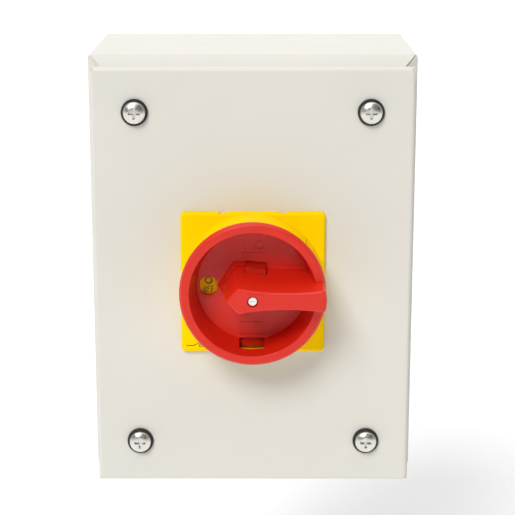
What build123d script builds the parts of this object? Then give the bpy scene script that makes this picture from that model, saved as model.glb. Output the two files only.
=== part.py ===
from build123d import *
import math
import os

# Rotary isolator switch in a wall-mounted folded-steel enclosure.
# Frame: X to the right, Z up, Y into the wall.  The origin is the centre of the back face.
# "Depth" means the distance in front of the wall, so a depth D lies on y = -D.

# ---------------------------------------------------------------- driving dimensions (mm)
# General fits.
FIT = 0.05
GAP = 0.3
SIDES = (-1, 1)

# Enclosure body.
BODY_W = 150.0
BODY_H = 206.0
BODY_DEPTH = 90.0
SHEET = 1.5
BEND_R = 1.5
BACK_BEND_R = 2.2
SLOPE = 7.0
RIM_DEPTH = 98.5
WALL_HOLE_X = 60.0
WALL_HOLE_Z = 90.0
WALL_HOLE_R = 3.25

# Lid and its screws.
LID_W = 146.0
LID_H = 196.5
LID_FACE = 102.5
LID_FLANGE = 5.95
LID_INSIDE = LID_FACE - SHEET
LID_HOLE_R = 11.3
LID_SCREW_HOLE_R = 2.9
LID_SCREW_HEAD_R = 5.0
LID_SCREW_HEAD_T = 3.2
SEAL_R = 6.1
SEAL_T = 1.2
SCREW_X = 53.3
SCREW_Z = 78.4
M5_R = 2.5
THREAD_SLACK = 0.05
TAB_BACK = 95.9
TAB_FRONT = 98.4
NUT_BACK = TAB_BACK - 4.0

# The handle, the shaft and the switch share one axis, a little below the middle of the box.
AXIS_Z = -0.5

# Mounting plate and terminal bars.
PANEL_BACK = 10.0
PANEL_FRONT = 12.0
PANEL_W = 104.0
PANEL_H = 150.0
PANEL_STUD_X = 46.0
PANEL_STUD_Z = 69.0
EARTH_X = 62.0
EARTH_Z = -66.0
BAR_Z = -58.0
BAR_W = 34.0
BAR_H = 9.0
BAR_T = 9.0
BAR_FIXING_R = 1.95
EARTH_BAR_X = -20.0
NEUTRAL_BAR_X = 20.0
BAR_FIXING_X = (EARTH_BAR_X, NEUTRAL_BAR_X)
BAR_CLAMP_OFFSETS = (-12.5, -6.5, 6.5, 12.5)
INSULATOR_T = 8.0

# Cable entries in the bottom wall.
ENTRY_X = 32.0
ENTRY_DEPTH = 50.0
ENTRY_R = 12.75
PLUG_HEAD_R = 15.5
PLUG_SEAL_T = 1.2
PLUG_HEAD_T = 3.5
PLUG_THREAD_R = 12.4
PLUG_THREAD_IN = 9.0
LOCKNUT_T = 4.5
LOCKNUT_FLATS = 31.0

# Bezel: plate, collar and threaded spigot.  Heights are in front of the lid's face.
PLATE_SIZE = 66.3
PLATE_T = 3.0
PLATE_EDGE_R = 1.6
COLLAR_TOP = 19.0
COLLAR_R_FOOT = 32.6
COLLAR_R_TOP = 32.1
COLLAR_R_IN = 30.2
COLLAR_GROOVE_R = 31.6
COLLAR_GROOVE_TOP = 6.4
SPIGOT_R = 11.0
SPIGOT_BACK = 93.0
BEZEL_NUT_R = 15.0
BEZEL_NUT_BACK = LID_INSIDE - 5.5
GASKET_OUT = 27.0
GASKET_IN = 24.0
GASKET_T = 1.2

# Handle.  Heights are in front of the lid's face.
RING_R = 33.1
RING_TOP = 24.3
DISH_SKIRT_R = 29.7
DISH_UNDERSIDE = 3.3
DISH_FLOOR = 5.4
DISH_FLOOR_R = 25.9
DISH_RIM_R = 28.6
GRIP_TOP = 35.0
GRIP_EMBED = 1.0
GRIP_EDGE_R = 1.2
GRIP_CORNER_R = 1.2
WINDOW_X = -20.4
WINDOW_Z = -0.6
WINDOW_R = 4.5
WINDOW_W = 7.9
GATE_X = -0.55
GATE_W = 11.4
GATE_TOP = 16.5
GATE_START = 25.3
HANDLE_SCREW_SEAT = GRIP_TOP - 2.6
HANDLE_SCREW_HEAD_R = 1.97

# Drive sleeve.
STEM_R = 7.95
NECK_R = 3.6
NECK_TOP = 15.0
SLEEVE_BACK = 89.5
CIRCLIP_GROOVE_R = 6.8
CIRCLIP_T = 1.0
CIRCLIP_FRONT = SPIGOT_BACK - GAP
O_RING_DEPTH = 99.0
O_RING_T = 1.8

# Lock slide and its spring.  Heights are in front of the lid's face.
SLIDE_W = 10.9
SLIDE_BACK = 3.4
SLIDE_FRONT = 4.6
SLIDE_REACH = 29.4
SLIDE_LIP_FRONT = 6.0
SLIDE_LIP_START = 26.6
SLIDE_TRAVEL = 2.0
SLIDE_SLACK = 0.2
THUMB_X = 1.25
THUMB_W = 9.5
THUMB_LIFT = 1.7
THUMB_TOP = 15.0
THUMB_LOWER = 6.5
SPRING_R = 1.9
SPRING_WIRE = 0.5
SPRING_HEIGHT = 10.0
SPRING_TOP = 9.2

# Rotary switch.
SWITCH_W = 60.0
SWITCH_H = 64.0
SWITCH_CORNER = 1.5
SWITCH_SCREW_Z = 37.0
SWITCH_SCREW_R = 1.95
EAR_FRONT = 16.0
BASE_FRONT = 20.0
CHAMBER_T = 16.0
CHAMBER_STARTS = (BASE_FRONT, BASE_FRONT + CHAMBER_T)
LATCH_BACK = BASE_FRONT + 2 * CHAMBER_T
LATCH_FRONT = LATCH_BACK + 10.0
COVER_FRONT = LATCH_FRONT + 2.5
THROUGH_BOLT_X = 7.0
THROUGH_BOLT_Z = 27.0
THROUGH_BOLT_R = 1.5
CAVITY_HALF_W = 27.5
CAVITY_HALF_H = 17.0
CHAMBER_FLOOR_T = 2.0
POCKET_INNER = 11.5
POCKET_Z = 20.5

# Rotor: spindle, cams, detent star, coupling and extension shaft.
SPINDLE = 7.0
SPINDLE_FRONT = 72.0
JOURNAL_R = 3.0
SPINDLE_WAY_R = 6.0
SHAFT = 6.0
SHAFT_BACK = 72.5
SHAFT_FRONT = 103.0
CAM_R = 12.0
CAM_LIFT = 3.0
CAM_T = 10.0
CAM_GAP = 0.15
STAR_R = 10.5
STAR_RIPPLE = 0.5
HUB_R = 6.95
ROLLER_R = 2.5
ROLLER_X = STAR_R + STAR_RIPPLE + CAM_GAP + ROLLER_R
COUPLING_R = 8.5
COUPLING_BACK = COVER_FRONT + 0.4
COUPLING_FRONT = 82.0
GRUB_DEPTH = 77.0
GRUB_R = 2.0

# Contacts, terminals and plungers.
BRIDGE_X = 19.6
BRIDGE_Z = 14.0
BRIDGE_T = 1.2
TIP_T = 0.8
TIP_R = 2.0
TIP_Z = 12.0
STRIP_X = 13.5
STRIP_T = 1.2
STRIP_HALF = 3.0
TERMINAL_Z = 26.0
CAGE_IN = 12.3
CAGE_OUT = 22.0
CAGE_WALL = 1.1
PLUNGER_NOSE_R = 1.5
PLUNGER_OUT = 25.6
WINDOW_IN = BRIDGE_X - FIT
WINDOW_OUT = 24.4


# ---------------------------------------------------------------- helpers
def forward(profile, start, end):
    """Extrude a front-view profile from one depth to another."""
    return extrude(Plane.XZ.offset(start) * profile, end - start)


def block(x_range, depth_range, z_range):
    """A box between two limits on each axis; the middle pair is in depth."""
    x0, x1 = x_range
    d0, d1 = depth_range
    z0, z1 = z_range
    centre = Pos((x0 + x1) / 2, -(d0 + d1) / 2, (z0 + z1) / 2)
    return centre * Box(x1 - x0, d1 - d0, z1 - z0)


def slab(width, height, start, end, x=0.0, z=0.0, corner=0.0):
    """A plate seen from the front, with optional rounded corners."""
    outline = RectangleRounded(width, height, corner) if corner else Rectangle(width, height)
    return forward(Pos(x, z) * outline, start, end)


def bar(radius, start, end, x=0.0, z=0.0):
    """A round bar along the depth direction."""
    return forward(Pos(x, z) * Circle(radius), start, end)


def tube(outer, inner, start, end, x=0.0, z=0.0):
    """A round tube along the depth direction."""
    return bar(outer, start, end, x, z) - bar(inner, start, end, x, z)


def hexagon(across_flats, start, end, x=0.0, z=0.0):
    """A hexagonal bar along the depth direction."""
    outline = RegularPolygon(across_flats / 2, 6, major_radius=False)
    return forward(Pos(x, z) * outline, start, end)


def turned(section, x=0.0, z=0.0, rounds=()):
    """Turn a closed half section of (radius, depth) points about a depth axis.

    Each entry of rounds is the number of a section point and the radius that rounds it.
    """
    points = [(radius, -depth) for radius, depth in section]
    face = make_face(Polyline(*points, close=True))
    for number, radius in rounds:
        corner = face.vertices().sort_by_distance(points[number])[0]
        face = fillet(corner, radius)
    return Pos(x, 0, z) * revolve(face, Axis.Y)


def side_prism(outline, x_range):
    """Extrude a side-view outline of (depth, z) points between two limits on X."""
    x0, x1 = x_range
    points = [(-depth, z) for depth, z in outline]
    return extrude(Plane.YZ.offset(x0) * make_face(Polyline(*points, close=True)), x1 - x0)


def between(a, b):
    """Two limits in rising order."""
    return (min(a, b), max(a, b))


def cross_bar(radius, x0, x1, depth, z):
    """A round bar along X."""
    return Pos((x0 + x1) / 2, -depth, z) * Rot(0, 90, 0) * Cylinder(radius, abs(x1 - x0))


def upright(radius, z0, z1, x, depth):
    """A round bar along Z."""
    return Pos(x, -depth, (z0 + z1) / 2) * Cylinder(radius, abs(z1 - z0))


def coil(radius, wire, length, turns):
    """A helical spring standing on the XY plane, its axis along Z."""
    path = Helix(pitch=length / turns, height=length, radius=radius)
    section = Plane(origin=path @ 0, z_dir=path % 0) * Circle(wire / 2)
    return sweep(section, path=path)


def corners(x, z):
    """The four mirrored places of one point."""
    return [(side * x, end * z) for side in SIDES for end in SIDES]


def drill(solid, holes):
    """Cut a list of solids out of another."""
    for hole in holes:
        solid -= hole
    return solid


def write(node, *solids):
    """Write one node as a STEP file, with each solid kept separate."""
    shape = solids[0] if len(solids) == 1 else Compound(children=list(solids))
    export_step(shape, f"parts/{node}.step")


def write_on_axis(node, *solids):
    """Write one node whose solids are modelled about the axis of the handle and switch."""
    write(node, *[Pos(0, 0, AXIS_Z) * solid for solid in solids])


def pan_screw(head_r, head_t, shank_r, seat, tail, x=0.0, z=0.0):
    """A pan-head screw with a cross recess; it sits on a seat depth and ends at a tail depth."""
    rim_top = seat + 0.62 * head_t
    crown = seat + head_t
    section = [
        (0, seat),
        (head_r, seat),
        (head_r, rim_top),
        (0.55 * head_r, crown - 0.05 * head_t),
        (0, crown),
    ]
    head = turned(section, x, z, rounds=((2, 0.35 * head_t), (3, 0.8 * head_r)))
    recess_length = 1.05 * head_r
    recess_width = 0.24 * head_r
    recess_floor = seat + 0.4 * head_t
    top = seat + 2 * head_t
    recess = slab(recess_length, recess_width, recess_floor, top, x, z)
    recess += slab(recess_width, recess_length, recess_floor, top, x, z)
    return head - recess + bar(shank_r, tail, seat, x, z)


def slotted_screw(head_r, head_t, shank_r, seat, tail, x, z):
    """A cheese-head screw with a straight slot."""
    head = bar(head_r, seat, seat + head_t, x, z)
    slot_width = 0.3 * head_r
    head -= slab(2.2 * head_r, slot_width, seat + head_t / 2, seat + 2 * head_t, x, z)
    return head + bar(shank_r, tail, seat, x, z)


# ---------------------------------------------------------------- enclosure
def frustum(width, height, start, end):
    """A four-sided frustum that narrows at 45 degrees towards the front."""
    shrink = 2 * (end - start)
    back = Plane.XZ.offset(start) * Rectangle(width, height)
    front = Plane.XZ.offset(end) * Rectangle(width - shrink, height - shrink)
    return loft([back, front])


def enclosure_body():
    """Folded-steel box with a 45-degree gutter slope and a sealing rim around the opening."""
    slope_end = BODY_DEPTH + SLOPE
    rim_w = BODY_W - 2 * SLOPE
    rim_h = BODY_H - 2 * SLOPE
    outside = slab(BODY_W, BODY_H, 0, BODY_DEPTH)
    outside = fillet(outside.faces().sort_by(Axis.Y)[-1].edges(), BACK_BEND_R)
    outside += frustum(BODY_W, BODY_H, BODY_DEPTH, slope_end)
    outside += slab(rim_w, rim_h, slope_end, RIM_DEPTH)
    outside &= slab(BODY_W, BODY_H, 0, RIM_DEPTH, corner=BEND_R)

    inner_w = BODY_W - 2 * SHEET
    inner_h = BODY_H - 2 * SHEET
    bend_shift = SHEET * math.tan(math.radians(22.5))
    inside = slab(inner_w, inner_h, SHEET, BODY_DEPTH - bend_shift)
    inside += frustum(inner_w, inner_h, BODY_DEPTH - bend_shift, slope_end - bend_shift)
    inside += slab(rim_w - 2 * SHEET, rim_h - 2 * SHEET, slope_end - bend_shift - SHEET, RIM_DEPTH)
    shell = outside - inside

    for x, z in corners(WALL_HOLE_X, WALL_HOLE_Z):
        shell -= bar(WALL_HOLE_R, -SHEET, 2 * SHEET, x, z)
    for side in SIDES:
        shell -= upright(ENTRY_R, -BODY_H / 2 - SHEET, -inner_h / 2 + SHEET, side * ENTRY_X, ENTRY_DEPTH)
    return shell - corner_grooves() - corner_reliefs()


def corner_grooves():
    """Mitre grooves down the slope at the two upper corners, from the rim outwards."""
    width = 1.4
    depth = 1.25
    overshoot = 3.0
    reach = SLOPE * math.sqrt(3) + overshoot
    rim_x = BODY_W / 2 - SLOPE
    rim_z = BODY_H / 2 - SLOPE
    grooves = []
    for side in SIDES:
        run = Vector(side, 1, 1).normalized()
        outward = Vector(side, -2, 1).normalized()
        start = Vector(side * rim_x, -(BODY_DEPTH + SLOPE), rim_z)
        bed = Plane(origin=start + run * (reach / 2), x_dir=run, z_dir=outward)
        grooves.append(bed * Box(reach, width, 2 * depth))
    return grooves


def corner_reliefs():
    """Shallow reliefs that end the side bends just above the two lower corners."""
    height = 8.6
    inset = 0.45
    back = BODY_DEPTH - 3.6
    reliefs = []
    for side in SIDES:
        x_range = between(side * (BODY_W / 2 - inset), side * (BODY_W / 2 + SHEET))
        reliefs.append(block(x_range, (back, RIM_DEPTH), (-BODY_H / 2 - SHEET, -BODY_H / 2 + height)))
    return reliefs


def lid_screw_tabs():
    """Four welded tabs that reach in from the side rims to the lid screws."""
    inner_end = SCREW_X - 7.0
    rim_inside = BODY_W / 2 - SLOPE - SHEET
    half = 5.6
    hole_r = 3.0
    tabs = []
    for x, z in corners(SCREW_X, SCREW_Z):
        side = math.copysign(1, x)
        x_range = between(side * inner_end, side * rim_inside)
        tab = block(x_range, (TAB_BACK, TAB_FRONT), (z - half, z + half))
        tabs.append(tab - bar(hole_r, TAB_BACK, TAB_FRONT, x, z))
    return tabs


def lid_weld_nuts():
    """Square weld nuts behind the tabs, for the M5 lid screws."""
    across = 8.8
    nuts = []
    for x, z in corners(SCREW_X, SCREW_Z):
        nut = slab(across, across, NUT_BACK, TAB_BACK, x, z)
        nuts.append(nut - bar(M5_R, NUT_BACK, TAB_BACK, x, z))
    return nuts


def mounting_studs():
    """Shouldered M5 studs that carry the mounting plate."""
    shoulder_r = 4.5
    stud_r = M5_R - THREAD_SLACK
    stud_end = PANEL_FRONT + 8.0
    studs = []
    for x, z in corners(PANEL_STUD_X, PANEL_STUD_Z):
        studs.append(bar(shoulder_r, SHEET, PANEL_BACK, x, z) + bar(stud_r, PANEL_BACK, stud_end, x, z))
    return studs


def mounting_plate():
    """Galvanised plate that carries the switch and the terminal bars."""
    corner = 3.0
    stud_hole_r = 2.8
    plate = slab(PANEL_W, PANEL_H, PANEL_BACK, PANEL_FRONT, corner=corner)
    for x, z in corners(PANEL_STUD_X, PANEL_STUD_Z):
        plate -= bar(stud_hole_r, PANEL_BACK, PANEL_FRONT, x, z)
    for end in SIDES:
        plate -= bar(SWITCH_SCREW_R + FIT, PANEL_BACK, PANEL_FRONT, 0, AXIS_Z + end * SWITCH_SCREW_Z)
    for x in BAR_FIXING_X:
        plate -= bar(BAR_FIXING_R + FIT, PANEL_BACK, PANEL_FRONT, x, BAR_Z)
    return plate


def mounting_plate_nuts():
    """Flanged M5 nuts on the mounting studs."""
    flange_r = 5.5
    flange_t = 1.2
    flats = 8.0
    nut_t = 5.0
    nuts = []
    for x, z in corners(PANEL_STUD_X, PANEL_STUD_Z):
        nut = bar(flange_r, PANEL_FRONT, PANEL_FRONT + flange_t, x, z)
        nut += hexagon(flats, PANEL_FRONT + flange_t, PANEL_FRONT + nut_t, x, z)
        nuts.append(nut - bar(M5_R, PANEL_FRONT, PANEL_FRONT + nut_t, x, z))
    return nuts


def earth_stud():
    """M6 earthing stud welded to the back wall."""
    stud_r = 2.95
    stud_end = 20.0
    return bar(stud_r, SHEET, stud_end, EARTH_X, EARTH_Z)


def earth_stud_nuts():
    """Washer and two hexagon nuts on the earthing stud."""
    washer_r = 6.0
    washer_t = 1.2
    flats = 10.0
    nut_t = 5.0
    thread_r = 3.0
    wire_gap = 0.6
    washer_end = SHEET + washer_t
    solids = [tube(washer_r, thread_r + FIT, SHEET, washer_end, EARTH_X, EARTH_Z)]
    for start in (washer_end, washer_end + nut_t + wire_gap):
        nut = hexagon(flats, start, start + nut_t, EARTH_X, EARTH_Z)
        solids.append(nut - bar(thread_r, start, start + nut_t, EARTH_X, EARTH_Z))
    return solids


# ---------------------------------------------------------------- cable entries
def entry_plug(side):
    """Screwed blanking plug that closes one cable entry in the bottom wall."""
    slot_length = 18.0
    slot_width = 2.2
    slot_depth = 1.5
    x = side * ENTRY_X
    outside = -BODY_H / 2
    seat = outside - PLUG_SEAL_T
    head = upright(PLUG_HEAD_R, seat - PLUG_HEAD_T, seat, x, ENTRY_DEPTH)
    head = fillet(head.faces().sort_by(Axis.Z)[0].edges(), 0.8)
    head -= Pos(x, -ENTRY_DEPTH, seat - PLUG_HEAD_T) * Box(slot_length, slot_width, 2 * slot_depth)
    return head + upright(PLUG_THREAD_R, seat, outside + SHEET + PLUG_THREAD_IN, x, ENTRY_DEPTH)


def entry_seals():
    """Rubber rings under the heads of the blanking plugs."""
    outside = -BODY_H / 2
    rings = []
    for side in SIDES:
        ring = upright(PLUG_HEAD_R - 1.0, outside - PLUG_SEAL_T, outside, side * ENTRY_X, ENTRY_DEPTH)
        ring -= upright(PLUG_THREAD_R + FIT, outside - PLUG_SEAL_T, outside, side * ENTRY_X, ENTRY_DEPTH)
        rings.append(ring)
    return rings


def entry_locknuts():
    """Hexagon locknuts on the plugs inside the box."""
    start = -BODY_H / 2 + SHEET
    nuts = []
    for side in SIDES:
        outline = RegularPolygon(LOCKNUT_FLATS / 2, 6, major_radius=False)
        nut = extrude(Pos(side * ENTRY_X, -ENTRY_DEPTH, start) * outline, LOCKNUT_T)
        nut -= upright(PLUG_THREAD_R + FIT, start, start + LOCKNUT_T, side * ENTRY_X, ENTRY_DEPTH)
        nuts.append(nut)
    return nuts


# ---------------------------------------------------------------- terminal bars
def terminal_bar(x, seat):
    """Brass bar with wire holes from below and clamp screws from the front."""
    thread_r = 1.5
    wire_r = 1.9
    front = seat + BAR_T
    middle = seat + BAR_T / 2
    brass = slab(BAR_W, BAR_H, seat, front, x, BAR_Z)
    brass -= bar(BAR_FIXING_R + FIT, seat, front, x, BAR_Z)
    for offset in BAR_CLAMP_OFFSETS:
        brass -= bar(thread_r, middle, front, x + offset, BAR_Z)
        brass -= upright(wire_r, BAR_Z - BAR_H / 2, BAR_Z + BAR_H / 2, x + offset, middle)
    return brass


def terminal_bar_screws(x, seat):
    """Clamp screws of one bar and the screw that holds it down."""
    front = seat + BAR_T
    clamp_seat = front + 0.8
    clamp_tail = seat + 6.5
    screws = [slotted_screw(3.0, 2.0, BAR_FIXING_R, front, PANEL_BACK, x, BAR_Z)]
    for offset in BAR_CLAMP_OFFSETS:
        screws.append(slotted_screw(2.3, 1.8, 1.45, clamp_seat, clamp_tail, x + offset, BAR_Z))
    return screws


def neutral_insulator():
    """Moulded foot that keeps the neutral bar off the plate."""
    width = BAR_W + 6.0
    height = BAR_H + 5.0
    front = PANEL_FRONT + INSULATOR_T
    foot = slab(width, height, PANEL_FRONT, front, NEUTRAL_BAR_X, BAR_Z, corner=2.0)
    return foot - bar(BAR_FIXING_R + FIT, PANEL_FRONT, front, NEUTRAL_BAR_X, BAR_Z)


# ---------------------------------------------------------------- lid and its fastenings
def lid():
    """Folded lid with short side flanges and open corner reliefs."""
    outside = slab(LID_W, LID_H, LID_FACE - LID_FLANGE, LID_FACE)
    outside = fillet(outside.faces().sort_by(Axis.Y)[0].edges(), BEND_R)
    inside = slab(LID_W - 2 * SHEET, LID_H - 2 * SHEET, LID_FACE - LID_FLANGE, LID_INSIDE)
    tray = outside - inside
    relief = 1.3
    relief_depth = 2.2
    for x, z in corners(LID_W / 2, LID_H / 2):
        tray -= slab(2 * relief, 2 * relief, LID_FACE - relief_depth, LID_FACE, x, z)
    for x, z in corners(SCREW_X, SCREW_Z):
        tray -= bar(LID_SCREW_HOLE_R, LID_INSIDE, LID_FACE, x, z)
    return tray - bar(LID_HOLE_R, LID_INSIDE, LID_FACE, 0, AXIS_Z)


def lid_gasket():
    """Foam strip between the lid and the front edge of the rim."""
    margin = 0.5
    band = 8.0
    width = LID_W - 2 * (SHEET + margin)
    height = LID_H - 2 * (SHEET + margin)
    start = RIM_DEPTH + 2 * FIT
    outer = slab(width, height, start, LID_INSIDE)
    return outer - slab(width - 2 * band, height - 2 * band, start, LID_INSIDE)


def lid_screws():
    """Pan-head M5 lid screws with cross recesses."""
    tail = NUT_BACK - 2.0
    seat = LID_FACE + SEAL_T
    shank_r = M5_R - THREAD_SLACK
    return [
        pan_screw(LID_SCREW_HEAD_R, LID_SCREW_HEAD_T, shank_r, seat, tail, x, z)
        for x, z in corners(SCREW_X, SCREW_Z)
    ]


def lid_screw_seals():
    """Black sealing washers under the lid screws."""
    front = LID_FACE + SEAL_T
    return [tube(SEAL_R, M5_R, LID_FACE, front, x, z) for x, z in corners(SCREW_X, SCREW_Z)]


def lid_screw_retainers():
    """Push-on washers that keep the screws in the lid."""
    outer = 5.2
    back = LID_INSIDE - 1.2
    return [tube(outer, M5_R, back, LID_INSIDE, x, z) for x, z in corners(SCREW_X, SCREW_Z)]


# ---------------------------------------------------------------- bezel
def handle_bezel():
    """Yellow square plate with a tall round collar, and a threaded spigot behind it."""
    web_front = LID_FACE + PLATE_T
    collar_front = LID_FACE + COLLAR_TOP
    foot = web_front - 1.0
    plate = slab(PLATE_SIZE, PLATE_SIZE, LID_FACE, web_front, corner=2.0)
    plate = fillet(plate.faces().sort_by(Axis.Y)[0].edges(), PLATE_EDGE_R)
    notch_x = 13.8
    notch_w = 3.1
    notch_h = 1.6
    for side in SIDES:
        plate -= slab(notch_w, notch_h, LID_FACE, web_front, side * notch_x, PLATE_SIZE / 2)
    section = [
        (COLLAR_R_IN, foot),
        (COLLAR_R_FOOT, foot),
        (COLLAR_R_FOOT, web_front),
        (COLLAR_R_TOP, collar_front),
        (COLLAR_R_IN, collar_front),
    ]
    bezel = plate + turned(section, rounds=((3, 0.5),)) + bar(SPIGOT_R, SPIGOT_BACK, LID_FACE)
    bezel -= tube(COLLAR_GROOVE_R, COLLAR_R_IN - 1.0, web_front, LID_FACE + COLLAR_GROOVE_TOP)
    bezel -= bar(STEM_R + FIT, SPIGOT_BACK, web_front)
    bezel -= tube(GASKET_OUT, GASKET_IN, LID_FACE, LID_FACE + GASKET_T)
    return bezel - collar_slit()


def collar_slit():
    """Narrow drain slit in the outside of the collar, at its upper right."""
    angle = 41.0
    width = 0.9
    depth = 1.0
    outline = Rot(0, 0, angle) * Pos(COLLAR_R_TOP, 0) * Rectangle(2 * depth, width)
    return forward(outline, LID_FACE + 4.0, LID_FACE + COLLAR_TOP - 1.0)


def bezel_gasket():
    """Rubber ring in the groove behind the plate."""
    return tube(GASKET_OUT - FIT, GASKET_IN + FIT, LID_FACE, LID_FACE + GASKET_T)


def bezel_nut():
    """Ring nut that clamps the bezel to the lid."""
    ring = tube(BEZEL_NUT_R, SPIGOT_R + FIT, BEZEL_NUT_BACK, LID_INSIDE)
    grips = 12
    grip_r = 1.2
    for index in range(grips):
        angle = 360.0 * index / grips
        outline = Rot(0, 0, angle) * Pos(BEZEL_NUT_R, 0) * Circle(grip_r)
        ring -= forward(outline, BEZEL_NUT_BACK, LID_INSIDE)
    return ring


# ---------------------------------------------------------------- handle
def dish():
    """Red dish with a raised outer ring; its skirt turns inside the collar."""
    underside = LID_FACE + DISH_UNDERSIDE
    floor = LID_FACE + DISH_FLOOR
    ring_back = LID_FACE + COLLAR_TOP + 0.5
    ring_front = LID_FACE + RING_TOP
    section = [
        (0, underside),
        (DISH_SKIRT_R, underside),
        (DISH_SKIRT_R, ring_back),
        (RING_R - 0.8, ring_back),
        (RING_R, ring_back + 1.7),
        (RING_R, ring_front - 1.6),
        (RING_R - 1.1, ring_front),
        (DISH_RIM_R, ring_front),
        (DISH_FLOOR_R, floor),
        (0, floor),
    ]
    return turned(section, rounds=((5, 0.8), (6, 0.6), (7, 0.35), (8, 1.0)))


def grip_outline(tip, shoulder, waist, end, bulge):
    """Arrow-ended bar seen from the front, symmetric about its long axis, with a bulging end."""
    shoulder_x, shoulder_z = shoulder
    waist_x, waist_z = waist
    end_x, end_z = end
    edges = [
        Line((tip, 0), (shoulder_x, shoulder_z)),
        ThreePointArc((shoulder_x, shoulder_z), (waist_x, waist_z), (end_x, end_z)),
        ThreePointArc((end_x, end_z), (bulge, 0), (end_x, -end_z)),
        ThreePointArc((end_x, -end_z), (waist_x, -waist_z), (shoulder_x, -shoulder_z)),
        Line((shoulder_x, -shoulder_z), (tip, 0)),
    ]
    return make_face(edges)


def foot_outline():
    """Outline of the grip at the floor of the dish."""
    return grip_outline(-14.7, (-8.1, 10.2), (12.0, 8.2), (32.0, 8.6), 33.5)


def front_outline():
    """Outline of the grip's front face."""
    return grip_outline(-11.7, (-6.5, 5.8), (12.5, 3.8), (31.9, 5.0), 32.8)


def grip():
    """Tapered grip bar that points left and runs out over the ring on the right."""
    foot = Plane.XZ.offset(LID_FACE + DISH_FLOOR - GRIP_EMBED) * foot_outline()
    front = Plane.XZ.offset(LID_FACE + GRIP_TOP) * front_outline()
    bar_solid = loft([foot, front], ruled=True)
    right_end = bar_solid.faces().sort_by(Axis.X)[-1]
    return fillet(upright_edges(right_end), GRIP_CORNER_R)


def upright_edges(face):
    """Edges of a side face that run from the back towards the front."""
    return [edge for edge in face.edges() if edge.bounding_box().size.Y > edge.length / 2]


def trimmed_grip():
    """Grip with softened front edges, cut to the skirt of the dish and to the ring."""
    solid = grip()
    solid = fillet(solid.faces().sort_by(Axis.Y)[0].edges(), GRIP_EDGE_R)
    above_collar = LID_FACE + COLLAR_TOP + 2.0
    room = bar(DISH_SKIRT_R, LID_FACE + DISH_UNDERSIDE, above_collar)
    room += bar(RING_R + 5.0, above_collar, LID_FACE + GRIP_TOP + 1.0)
    return solid & room


def plinth():
    """Low sloped step around the foot of the grip."""
    width = 1.3
    height = 1.2
    outer = offset(foot_outline(), width)
    floor = LID_FACE + DISH_FLOOR
    step = loft([
        Plane.XZ.offset(floor) * outer,
        Plane.XZ.offset(floor + height) * foot_outline(),
    ], ruled=True)
    return step & bar(DISH_FLOOR_R, floor, floor + height)


def floor_marks():
    """Shallow moulded marks in the floor of the dish: I and O above the grip, a frame below."""
    line = 0.35
    depth = 0.3
    z = 19.0
    marks = Pos(-3.4, z) * Rectangle(1.2, 4.0)
    marks += Pos(3.0, z) * (Circle(2.0) - Circle(2.0 - line))
    marks += Pos(0.2, 15.1) * Rectangle(SLIDE_W, line)
    marks += Pos(GATE_X, -20.5) * (Rectangle(GATE_W, 6.0) - Rectangle(GATE_W - 2 * line, 6.0 - 2 * line))
    floor = LID_FACE + DISH_FLOOR
    return forward(marks, floor - depth, floor + depth)


def thumb_room():
    """Space in the grip and floor for the thumb block over its travel."""
    half = THUMB_W / 2 + SLIDE_SLACK
    lower = THUMB_LOWER - SLIDE_TRAVEL - SLIDE_SLACK
    depths = (LID_FACE + DISH_UNDERSIDE, LID_FACE + THUMB_TOP + SLIDE_SLACK)
    around = Pos(0, THUMB_LIFT) * offset(foot_outline(), SLIDE_SLACK)
    room = block((THUMB_X - half, THUMB_X + half), depths, (lower, DISH_FLOOR_R))
    return room & forward(around, *depths)


def slide_channel():
    """Channel under the floor for the tongue of the lock slide."""
    half = SLIDE_W / 2 + SLIDE_SLACK
    depths = (LID_FACE + DISH_UNDERSIDE, LID_FACE + SLIDE_FRONT + SLIDE_SLACK)
    z_range = (-DISH_SKIRT_R - 1.0, THUMB_LOWER + 1.0 + SLIDE_SLACK)
    return block((GATE_X - half, GATE_X + half), depths, z_range)


def gate():
    """Opening in the wall of the dish where the lock slide comes out."""
    half = GATE_W / 2
    depths = (LID_FACE + DISH_UNDERSIDE, LID_FACE + GATE_TOP)
    return block((GATE_X - half, GATE_X + half), depths, (-DISH_SKIRT_R - 1.0, -GATE_START))


def position_window():
    """Window in the floor that shows the position mark on the plate."""
    outline = Circle(WINDOW_R) & Rectangle(WINDOW_W, 3 * WINDOW_R)
    return forward(Pos(WINDOW_X, WINDOW_Z) * outline, LID_FACE + DISH_UNDERSIDE, LID_FACE + DISH_FLOOR)


def screw_way():
    """Stepped bore down the grip for the neck of the drive sleeve and the handle screw."""
    face = LID_FACE
    way = bar(HANDLE_SCREW_HEAD_R + 0.5, face + HANDLE_SCREW_SEAT, face + GRIP_TOP)
    way += bar(1.6, face + NECK_TOP, face + HANDLE_SCREW_SEAT)
    return way + bar(NECK_R + FIT, face + DISH_UNDERSIDE, face + NECK_TOP)


def handle():
    """Rotary handle: dish, grip, position window, lock slide channel and screw bore."""
    knob = dish() + plinth() + trimmed_grip()
    openings = [position_window(), slide_channel(), thumb_room(), gate(), screw_way(), floor_marks()]
    return drill(knob, openings)


def handle_screw():
    """Long M3 screw down the grip into the neck of the drive sleeve."""
    face = LID_FACE
    front = face + GRIP_TOP - 0.8
    head = bar(HANDLE_SCREW_HEAD_R, face + HANDLE_SCREW_SEAT, front)
    head = fillet(head.faces().sort_by(Axis.Y)[0].edges(), 0.3)
    head -= slab(2.6, 0.5, front - 0.5, front)
    return head + bar(1.45, face + NECK_TOP - 8.0, face + HANDLE_SCREW_SEAT)


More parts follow.
